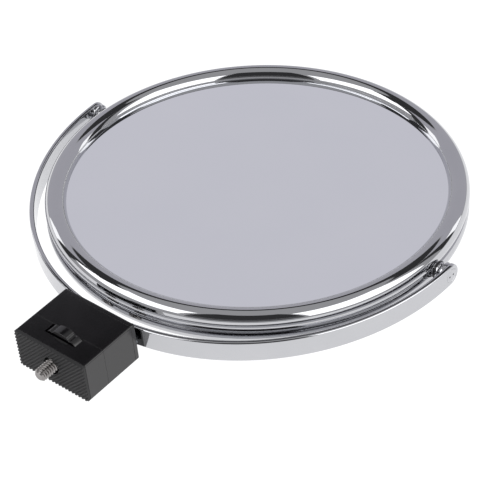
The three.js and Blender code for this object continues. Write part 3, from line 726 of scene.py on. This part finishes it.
low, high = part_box("grip_pad")
reach = (high - low).length / 2 / MM + RIB_PITCH
count = 2 * math.ceil(reach / RIB_PITCH)
start = -count * RIB_PITCH / 2
flank = (RIB_PITCH - RIB_CREST - RIB_FLOOR) / 2
rib_points = [(start, PAD_THICKNESS)]
for i in range(count):
    x = start + i * RIB_PITCH
    rib_points += [(x, RIB_DEPTH), (x + RIB_FLOOR, RIB_DEPTH),
                   (x + RIB_FLOOR + flank, 0), (x + RIB_FLOOR + flank + RIB_CREST, 0)]
rib_points += [(-start, RIB_DEPTH), (-start, PAD_THICKNESS)]
bm = bmesh.new()
ends = [bm.verts.new((x * MM, y * MM, -reach * MM)) for x, y in rib_points]
bm.faces.new(ends)
crests = [v for v in bm.verts if v.co.y < (RIB_DEPTH + 0.01) * MM]
bmesh.ops.bevel(bm, geom=crests, offset=RIB_ROUND * MM, affect="VERTICES", segments=2,
                profile=0.5, material=-1)
draw_out(bm, 2 * reach)
bm.transform(Matrix.Rotation(math.pi / 2 - RIB_ANGLE, 4, "Y"))
block_outline = moulding(Vector((low.x, -1 * MM, low.z)), Vector((high.x, high.y, high.z)),
                         PAD_EDGE, PAD_EDGE)
pad = combined("INTERSECT", bm, block_outline)
pad = combined("DIFFERENCE", pad, along_block(rod(PAD_HOLE, -2, PAD_THICKNESS + 2)))
grip_pad = piece("ribbed_grip_pad", pad, Matrix.Identity(4), rubber)
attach(grip_pad, "yoke")
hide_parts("grip_pad")

# ---- Fastening stud ----
# A quarter-inch stud turned from steel bar, with a rolled thread of 20 turns to the inch. Its
# shank has a flat that drives the hand wheel, and its journal turns in the rear housing.

THREAD_PITCH = 1.27
THREAD_DEPTH = 0.62
THREAD_TIP = -7.6
THREAD_END = 2.0
TURN_STEPS = 48
SHANK_RADIUS = 3.0
TAIL_END = 19.2
GROOVE_START = 17.08
GROOVE_END = 18.02
GROOVE_DEPTH = 0.55
FLAT_DEPTH = 0.5
TAIL_CHAMFER = 0.4
SHANK_START = THREAD_END - 0.8
SHANK_SHOULDER = THREAD_END - 0.1
STEEL = "#9a9796"
STEEL_SHADE = "#7d7a78"

# Turned bright steel: warm grey, with fine tool rings that stretch its highlights.
steel, tree, shader = surface("bright_steel_turned", {"Metallic": 1.0})
where = add(tree, "TexCoord", {}, {}).outputs["Object"]
rings = add(tree, "TexWave", {"wave_type": "BANDS", "bands_direction": "Y",
                              "Scale": 1 / (4 * MM), "Distortion": 1.5, "Detail": 3},
            {"Vector": where})
stain = add(tree, "TexNoise", {"Scale": 1 / (2.5 * MM), "Detail": 4}, {"Vector": where})
tint = add(tree, "Mix", {"data_type": "RGBA", 6: linear(STEEL_SHADE), 7: linear(STEEL)},
           {0: stain.outputs["Fac"]})
haze = add(tree, "MapRange", {"To Min": 0.12, "To Max": 0.24}, {"Value": stain.outputs["Fac"]})
relief = add(tree, "Bump", {"Strength": 0.3, "Distance": 0.01 * MM}, {"Height": rings.outputs["Fac"]})
dress(tree, shader, tint, haze, relief)


def screw_thread(root, crest, pitch, start, end):
    """A solid threaded rod along Z: one pitch of the flank wound up by a screw spin."""
    turns = math.ceil((end - start) / pitch) + 2
    bottom = start - pitch
    bm = bmesh.new()
    flank = [(root, 0), (crest, 0.42), (crest, 0.54), (root, 0.96), (root, 1)]
    verts = [bm.verts.new((r * MM, 0, (bottom + share * pitch) * MM)) for r, share in flank]
    for pair in zip(verts, verts[1:]):
        bm.edges.new(pair)
    bmesh.ops.spin(bm, geom=bm.verts[:] + bm.edges[:], axis=(0, 0, 1),
                   dvec=(0, 0, pitch * MM / TURN_STEPS), angle=turns * math.tau,
                   steps=turns * TURN_STEPS)
    bmesh.ops.remove_doubles(bm, verts=bm.verts, dist=1e-6)
    for level, up in ((start, -1), (end, 1)):
        bmesh.ops.bisect_plane(bm, geom=bm.verts[:] + bm.edges[:] + bm.faces[:], dist=1e-8,
                               plane_co=(0, 0, level * MM), plane_no=(0, 0, up), clear_outer=True)
        open_edges = [e for e in bm.edges if e.is_boundary
                      and all(abs(v.co.z - level * MM) < 1e-7 for v in e.verts)]
        bmesh.ops.edgenet_fill(bm, edges=open_edges)
    bmesh.ops.recalc_face_normals(bm, faces=bm.faces)
    return bm


root = STUD_RADIUS - THREAD_DEPTH
thread = screw_thread(root, STUD_RADIUS, THREAD_PITCH, THREAD_TIP, THREAD_END)
envelope = spun([(0, THREAD_TIP), (root - 0.5, THREAD_TIP), (STUD_RADIUS + 0.01, THREAD_TIP + 1.0),
                 (STUD_RADIUS + 0.01, THREAD_END - 0.3), (root, THREAD_END + 1), (0, THREAD_END + 1)],
                steps=96, closed=False)
thread = combined("INTERSECT", thread, envelope)
shank = spun([
    (0, SHANK_START), (root - 0.05, SHANK_START), (SHANK_RADIUS, SHANK_SHOULDER),
    (SHANK_RADIUS, WHEEL_REAR), (JOURNAL_RADIUS, WHEEL_REAR), (JOURNAL_RADIUS, GROOVE_START),
    (JOURNAL_RADIUS - GROOVE_DEPTH, GROOVE_START), (JOURNAL_RADIUS - GROOVE_DEPTH, GROOVE_END),
    (JOURNAL_RADIUS, GROOVE_END), (JOURNAL_RADIUS, TAIL_END - TAIL_CHAMFER),
    (JOURNAL_RADIUS - TAIL_CHAMFER, TAIL_END), (0, TAIL_END)], steps=96, fillet=0.06, closed=False)
flat = bar(Vector((-5, -5, WHEEL_FRONT)) * MM,
           Vector((5, -SHANK_RADIUS + FLAT_DEPTH, WHEEL_REAR)) * MM)
stud = combined("UNION", thread, combined("DIFFERENCE", shank, flat))
threaded_stud = piece("fastening_stud", stud, ALONG_Y, steel)
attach(threaded_stud, "fastening_screw")
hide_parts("threaded_stud")

# ---- Hand wheel ----
# A wheel moulded in black ABS with eight broad lobes round its rim, a sunk web on each face, and
# a D-shaped hole that fits the flat of the stud.

WHEEL_RADIUS = 13.0
WHEEL_LOBES = 8
LOBE_STEPS = 16
LOBE_GROOVE = 2.6
LOBE_GROOVE_DEPTH = 0.8
WEB_RECESS = 0.9
HUB_RADIUS = 5.6
RIM_WIDTH = 2.6
LOBE_ROUND = 0.25
FACE_ROUND = 0.22

bm = bmesh.new()
step = math.tau / WHEEL_LOBES
half_groove = math.asin(LOBE_GROOVE / 2 / WHEEL_RADIUS)
rim_points = []
for i in range(WHEEL_LOBES):
    lobe = [(WHEEL_RADIUS, (step - 2 * half_groove) * (j / LOBE_STEPS - 0.5))
            for j in range(LOBE_STEPS + 1)]
    floor = WHEEL_RADIUS - LOBE_GROOVE_DEPTH
    lobe += [(floor, (step - half_groove) / 2), (floor, (step + half_groove) / 2)]
    for radius, turn in lobe:
        angle = i * step + turn
        rim_points.append(bm.verts.new((radius * math.cos(angle) * MM,
                                        radius * math.sin(angle) * MM, WHEEL_FRONT * MM)))
bm.faces.new(rim_points)
bends = [v for v in bm.verts if v.calc_edge_angle(0) > math.radians(15)]
bmesh.ops.bevel(bm, geom=bends, offset=LOBE_ROUND * MM, affect="VERTICES", segments=3,
                profile=0.5, material=-1)
draw_out(bm, WHEEL_REAR - WHEEL_FRONT)
face_edges = [e for e in bm.edges if len(e.link_faces) == 2
              and abs(e.verts[0].co.z - e.verts[1].co.z) < 1e-9]
bmesh.ops.bevel(bm, geom=face_edges, offset=FACE_ROUND * MM, affect="EDGES", segments=3,
                profile=0.5, material=-1, clamp_overlap=True)
webs = [spun([(HUB_RADIUS, a), (WHEEL_RADIUS - RIM_WIDTH, a), (WHEEL_RADIUS - RIM_WIDTH, b),
              (HUB_RADIUS, b)], steps=96)
        for a, b in ((WHEEL_FRONT - 1, WHEEL_FRONT + WEB_RECESS),
                     (WHEEL_REAR - WEB_RECESS, WHEEL_REAR + 1))]
bore = rod(SHANK_RADIUS + SNUG, WHEEL_FRONT - 1, WHEEL_REAR + 1)
key = bar(Vector((-5, -5, WHEEL_FRONT - 2)) * MM,
          Vector((5, -SHANK_RADIUS + FLAT_DEPTH - SNUG, WHEEL_REAR + 2)) * MM)
wheel = combined("DIFFERENCE", bm, *webs, combined("DIFFERENCE", bore, key))
thumbwheel = piece("lobed_hand_wheel", wheel, ALONG_Y, abs_plastic)
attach(thumbwheel, "fastening_screw")
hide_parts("thumbwheel")

# ---- Yoke screws ----
# Two pan-head machine screws of bright steel with cross recesses. They come through the band
# from inside the ring and pull it against the block.

YOKE_HEAD_RADIUS = 3.4
YOKE_HEAD = 2.0
YOKE_SCREW_START = 22.6
RECESS_REACH = 1.7
RECESS_WIDTH = 0.62
RECESS_DEPTH = 1.2
M4_PITCH = 0.7
SCREW_ROOT = 0.8  # root of the thread, as a share of the screw's radius
SCREW_TIP = 0.62  # flat of the tip, as a share of the same
SCREW_NECK = 0.9
CROWN = ((1, 0.42), (0.9, 0.74), (0.62, 0.95))  # shares of the head's radius and height

seat_reach = SCREW_X + YOKE_HEAD_RADIUS
seat_share = math.sqrt(1 - (seat_reach / BAND_INNER) ** 2)
seat = PIVOT.y / MM - BAND_INNER_DEPTH * seat_share + 0.05


def cross_recess(reach, width, top, depth):
    """The cutter of a cross recess along Z, tapered to its bottom."""
    cross = bmesh.new()
    for turn in (0, math.pi / 2):
        arm = bar(Vector((-reach, -width / 2, top - depth)) * MM,
                  Vector((reach, width / 2, top + 1)) * MM)
        floor = [v for v in arm.verts if v.co.z < (top - depth / 2) * MM]
        bmesh.ops.scale(arm, vec=(0.45, 0.7, 1), verts=floor)
        arm.transform(Matrix.Rotation(turn, 4, "Z"))
        cross = arm if turn == 0 else combined("UNION", cross, arm)
    return cross


def pan_screw(shank, pitch, head, head_height, start, seat, recess):
    """A threaded pan-head screw along Z, from its tip to the crown of its head."""
    reach, width, depth = recess
    thread = screw_thread(shank * SCREW_ROOT, shank, pitch, start, seat - 0.6)
    tip = spun([(0, start), (shank * SCREW_TIP, start), (shank + 0.01, start + shank * 0.5),
                (shank + 0.01, seat), (0, seat)], steps=64, closed=False)
    crown = spun([
        (0, seat - SCREW_NECK), (shank - 0.02, seat - SCREW_NECK), (shank - 0.02, seat), (head, seat),
        *[(head * across, seat + head_height * up) for across, up in CROWN],
        (0, seat + head_height)], steps=64, fillet=0.16, closed=False)
    body = combined("UNION", combined("INTERSECT", thread, tip), crown)
    return combined("DIFFERENCE", body, cross_recess(reach, width, seat + head_height, depth))


made = pan_screw(SCREW_RADIUS, M4_PITCH, YOKE_HEAD_RADIUS, YOKE_HEAD, YOKE_SCREW_START, seat,
                 (RECESS_REACH, RECESS_WIDTH, RECESS_DEPTH))
for side, x in (("left", -SCREW_X), ("right", SCREW_X)):
    place = Matrix.Translation((x * MM, 0, 0)) @ ALONG_Y
    yoke_screw = piece("pan_screw_" + side, made.copy(), place, steel)
    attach(yoke_screw, "yoke")
    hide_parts("yoke_screw_" + side)

# ---- Housing screws ----
# Four small screws of zinc-plated steel with coarse threads for plastic. Their heads are sunk in
# the back plate, and they draw the plate and the two housings together.

SMALL_SCREW_START = 6.6
SMALL_PITCH = 0.9
SMALL_HEAD_HEIGHT = 1.25
SMALL_RECESS = (1.15, 0.42, 0.75)

made = pan_screw(SMALL_SCREW, SMALL_PITCH, SMALL_HEAD, SMALL_HEAD_HEIGHT, SMALL_SCREW_START,
                 BLOCK_DEPTH - SMALL_HEAD_DEPTH, SMALL_RECESS)
for number, (x, z) in enumerate(POSTS, start=1):
    at_post = Matrix.Translation((x * MM, 0, z * MM)) @ ALONG_Y
    housing_screw = piece("screw_of_the_housing_%d" % number, made.copy(), at_post, zinc)
    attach(housing_screw, "yoke")
    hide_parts("housing_screw_%d" % number)

# ---- Thrust washers and retaining ring ----
# Two washers punched from steel take the push and pull of the wheel, and a split ring in the
# groove of the stud's tail keeps it in the block. All three are zinc plated.

WASHER_GAP = 0.15
RING_START = 17.15
RING_END = 17.95
RING_RADIUS = 4.3
RING_BORE = 2.05
RING_MOUTH = 3.2

for end, start, bore in (("front", WHEEL_FRONT - WASHER_GAP - THRUST_WASHER, SHANK_RADIUS),
                         ("rear", WHEEL_REAR + WASHER_GAP, JOURNAL_RADIUS)):
    disc = spun([(bore + SNUG, start), (THRUST_WASHER_RADIUS, start),
                 (THRUST_WASHER_RADIUS, start + THRUST_WASHER), (bore + SNUG, start + THRUST_WASHER)],
                steps=96, fillet=0.08)
    washer = piece("punched_washer_" + end, disc, ALONG_Y, zinc)
    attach(washer, "fastening_screw")
    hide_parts("thrust_washer_" + end)

whole = spun([(RING_BORE, RING_START), (RING_RADIUS, RING_START), (RING_RADIUS, RING_END),
              (RING_BORE, RING_END)], steps=96, fillet=0.08)
mouth = bar(Vector((-RING_MOUTH / 2, 0, RING_START - 1)) * MM,
            Vector((RING_MOUTH / 2, RING_RADIUS + 1, RING_END + 1)) * MM)
split_ring = piece("split_ring_of_the_stud", combined("DIFFERENCE", whole, mouth), ALONG_Y, zinc)
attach(split_ring, "fastening_screw")
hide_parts("retaining_ring")

# ---- Threaded inserts ----
# Two brass bushes with a knurled outside, pressed warm into the posts of the rear housing. The
# yoke screws turn into them.

BRASS = "#b8945a"
BRASS_SHADE = "#9c7a45"

# Knurled brass: yellow metal with a fine diagonal knurl and dull hollows.
brass, tree, shader = surface("brass_knurled", {"Metallic": 1.0})
where = add(tree, "TexCoord", {}, {}).outputs["Object"]
knurl = add(tree, "TexWave", {"wave_type": "BANDS", "bands_direction": "DIAGONAL",
                              "Scale": 1 / (3 * MM), "Distortion": 0.2}, {"Vector": where})
dull = add(tree, "TexNoise", {"Scale": 1 / (2 * MM), "Detail": 3}, {"Vector": where})
tint = add(tree, "Mix", {"data_type": "RGBA", 6: linear(BRASS_SHADE), 7: linear(BRASS)},
           {0: dull.outputs["Fac"]})
haze = add(tree, "MapRange", {"To Min": 0.25, "To Max": 0.45}, {"Value": dull.outputs["Fac"]})
relief = add(tree, "Bump", {"Strength": 0.6, "Distance": 0.1 * MM}, {"Height": knurl.outputs["Fac"]})
dress(tree, shader, tint, haze, relief)

KNURL_TEETH = 36
KNURL_DEPTH = 0.2

for side, x in (("left", -SCREW_X), ("right", SCREW_X)):
    bm = bmesh.new()
    outline = []
    for i in range(2 * KNURL_TEETH):
        radius = INSERT_RADIUS - KNURL_DEPTH * (i % 2)
        angle = math.pi * i / KNURL_TEETH
        outline.append(bm.verts.new((radius * math.cos(angle) * MM, radius * math.sin(angle) * MM,
                                     (rear_end - INSERT_LENGTH) * MM)))
    bm.faces.new(outline)
    draw_out(bm, INSERT_LENGTH)
    bush = combined("DIFFERENCE", bm, rod(SCREW_RADIUS + SNUG, 0, BLOCK_DEPTH))
    place = Matrix.Translation((x * MM, 0, 0)) @ ALONG_Y
    insert = piece("knurled_insert_" + side, bush, place, brass)
    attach(insert, "yoke")
    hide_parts("threaded_insert_" + side)

# ---- Studio ----
# A lit white table under the head, two broad soft lights, a grey-lilac wall between two strip
# lights, and dark screens beside them, over them and round the camera, which line the chrome.

TABLE_SIZE = 12.0
TABLE = "#858586"
TABLE_CLOUD = "#828283"
TABLE_LIGHT = (0.95, 0.95, 0.955, 1)
SOFT_LIGHT = (2.4, 2.4, 2.4)
WALL_LIGHT = (0.59, 0.583, 0.632)
DARK = (0.05, 0.05, 0.052)
GREY = (0.13, 0.13, 0.135)
STRIP_LIGHT = (1.8, 1.8, 1.8)
ROOM_LIGHT = (0.5, 0.5, 0.51, 1)
SCREEN_DISTANCE = 2.4
SCREEN_STEPS = 12
CAMERA_AIM = Vector((3.41, 122.75, -14.74)) * MM
CAMERA_AZIMUTH = math.radians(43.33)
CAMERA_ELEVATION = math.radians(40.84)
CAMERA_ROLL = math.radians(-5.92)
CAMERA_DISTANCE = 0.8799
LENS = 139.95


def looking(azimuth, elevation):
    """Direction from the head at an azimuth and elevation, in radians; azimuth 0 is -Y."""
    flat = math.cos(elevation)
    return Vector((math.sin(azimuth) * flat, -math.cos(azimuth) * flat, math.sin(elevation)))


def screen(name, azimuths, elevations, radiance):
    """A curved screen about the head, from one azimuth and elevation to another, in degrees."""
    bm = bmesh.new()
    grid = []
    for i in range(SCREEN_STEPS + 1):
        azimuth = math.radians(azimuths[0] + (azimuths[1] - azimuths[0]) * i / SCREEN_STEPS)
        grid.append([])
        for j in range(SCREEN_STEPS + 1):
            elevation = math.radians(
                elevations[0] + (elevations[1] - elevations[0]) * j / SCREEN_STEPS)
            grid[i].append(bm.verts.new(PIVOT + looking(azimuth, elevation) * SCREEN_DISTANCE))
    for row, following in zip(grid, grid[1:]):
        for j in range(SCREEN_STEPS):
            bm.faces.new((row[j], row[j + 1], following[j + 1], following[j]))
    shown = loose_object(name, bm)
    glow = surface(name, {
        "Base Color": (0, 0, 0, 1), "Specular IOR Level": 0.0, "Roughness": 1.0,
        "Emission Color": (*radiance, 1), "Emission Strength": 1.0})[0]
    shown.data.materials.append(glow)
    shown.visible_camera = False
    shown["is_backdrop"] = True


screen("soft_light_right", (63, 127), (13, 57), SOFT_LIGHT)
screen("soft_light_front", (-65, 0), (23, 57), SOFT_LIGHT)
screen("dark_round_the_camera", (4, 61), (26, 70), DARK)
screen("grey_under_the_dark", (4, 61), (12, 25.5), GREY)
screen("back_wall", (161, 271), (3, 41.5), WALL_LIGHT)
screen("dark_above_the_wall", (140, 300), (42, 56), DARK)
screen("strip_light_right", (151, 160), (3, 24), STRIP_LIGHT)
screen("strip_light_left", (272, 284), (3, 24), STRIP_LIGHT)
screen("dark_beside_the_strip_right", (138, 150), (3, 41.5), DARK)
screen("dark_beside_the_strip_left", (285, 297), (3, 41.5), DARK)
screen("wall_above_the_strip_right", (151, 160.5), (24.5, 41.5), WALL_LIGHT)
screen("wall_above_the_strip_left", (271.5, 284), (24.5, 41.5), WALL_LIGHT)

table = bmesh.new()
bmesh.ops.create_grid(table, x_segments=1, y_segments=1, size=TABLE_SIZE / 2)
table.transform(Matrix.Translation((0, 0, cad_low.z)))
ground = loose_object("light_table", table)
opal, tree, shader = surface("opal_acrylic_lit_from_below", {
    "Roughness": 0.9, "Specular IOR Level": 0.1, "Emission Strength": 1.0,
    "Emission Color": TABLE_LIGHT})
where = add(tree, "TexCoord", {}, {}).outputs["Object"]
haze = add(tree, "TexNoise", {"Scale": 1 / (60 * MM), "Detail": 3}, {"Vector": where})
tint = add(tree, "Mix", {"data_type": "RGBA", 6: linear(TABLE_CLOUD), 7: linear(TABLE)},
           {0: haze.outputs["Fac"]})
tree.links.new(tint.outputs[2], shader.inputs["Base Color"])
ground.data.materials.append(opal)
ground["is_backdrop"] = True

world = bpy.data.worlds.new("studio")
world.use_nodes = True
world.node_tree.nodes["Background"].inputs["Color"].default_value = ROOM_LIGHT
world.node_tree.nodes["Background"].inputs["Strength"].default_value = 1.0
bpy.context.scene.world = world
bpy.context.scene.view_settings.view_transform = "Standard"

back = looking(CAMERA_AZIMUTH, CAMERA_ELEVATION)
camera_data = bpy.data.cameras.new("camera")
camera_data.lens = LENS
camera_data.sensor_width = 36
camera_data.clip_start = 0.05
camera_data.clip_end = 50
camera = bpy.data.objects.new("camera", camera_data)
bpy.context.collection.objects.link(camera)
turn = back.to_track_quat("Z", "Y").to_matrix().to_4x4() @ Matrix.Rotation(CAMERA_ROLL, 4, "Z")
camera.matrix_world = Matrix.Translation(CAMERA_AIM + back * CAMERA_DISTANCE) @ turn
bpy.context.scene.camera = camera

# ---- Size of the head ----
# The box of the finished pieces, taken again once they are built, beside the box of the CAD frame
# taken just after the import.

low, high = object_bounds()
